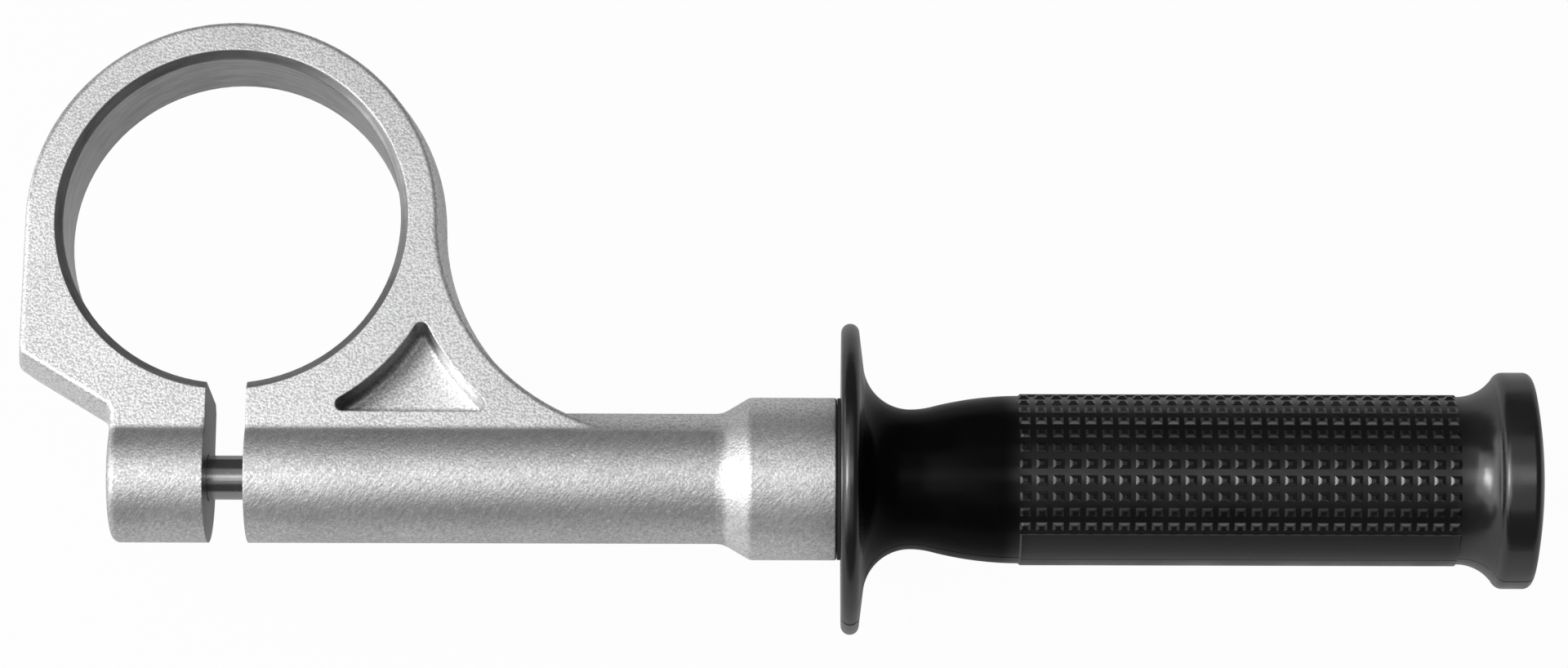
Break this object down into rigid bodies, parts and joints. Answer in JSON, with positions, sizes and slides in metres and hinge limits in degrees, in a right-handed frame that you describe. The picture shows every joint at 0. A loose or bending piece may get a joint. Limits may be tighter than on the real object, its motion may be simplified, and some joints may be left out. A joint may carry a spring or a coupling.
{
  "type": "power tool side handle",
  "caption": "Side handle for a power tool: a cast aluminium split-ring clamp on a tubular arm, with a black moulded grip that screws in and out to work the clamp bolt.",
  "frame": {"origin": "centre of the collar bore, half-way through the clamp plate", "axes": "+Z along the collar bore, out of the plate's front face; +X along the arm towards the grip's free end; +Y from the arm's axis towards the ring"},
  "size_m": [0.2697, 0.1104, 0.055],
  "materials": {
    "cast_aluminium": "shot-blasted casting with a turned bore",
    "bolt_steel": "bright zinc-plated",
    "washer_fibre": "matt black fibre",
    "insert_steel": "turned",
    "grip_plastic": "semi-gloss black moulding"
  },
  "bodies": {
    "clamp": {"clamp_casting": "cast_aluminium", "clamp_bolt": "bolt_steel"},
    "washer": {"thrust_washer": "washer_fibre"},
    "grip": {"grip": "grip_plastic", "grip_insert": "insert_steel"}
  },
  "joints": [
    {"name": "grip_travel", "type": "slide", "parent": "clamp", "child": "washer", "axis": [1, 0, 0], "range_m": [0, 0.01]},
    {"name": "grip_spin", "type": "hinge", "parent": "washer", "child": "grip", "pos_m": [0.1082, -0.0452, 0], "axis": [1, 0, 0], "range_deg": [0, 2880]}
  ],
  "couplings": [
    {"joint": "grip_travel", "follows": "grip_spin", "m_per_rad": 0.00019894}
  ]
}
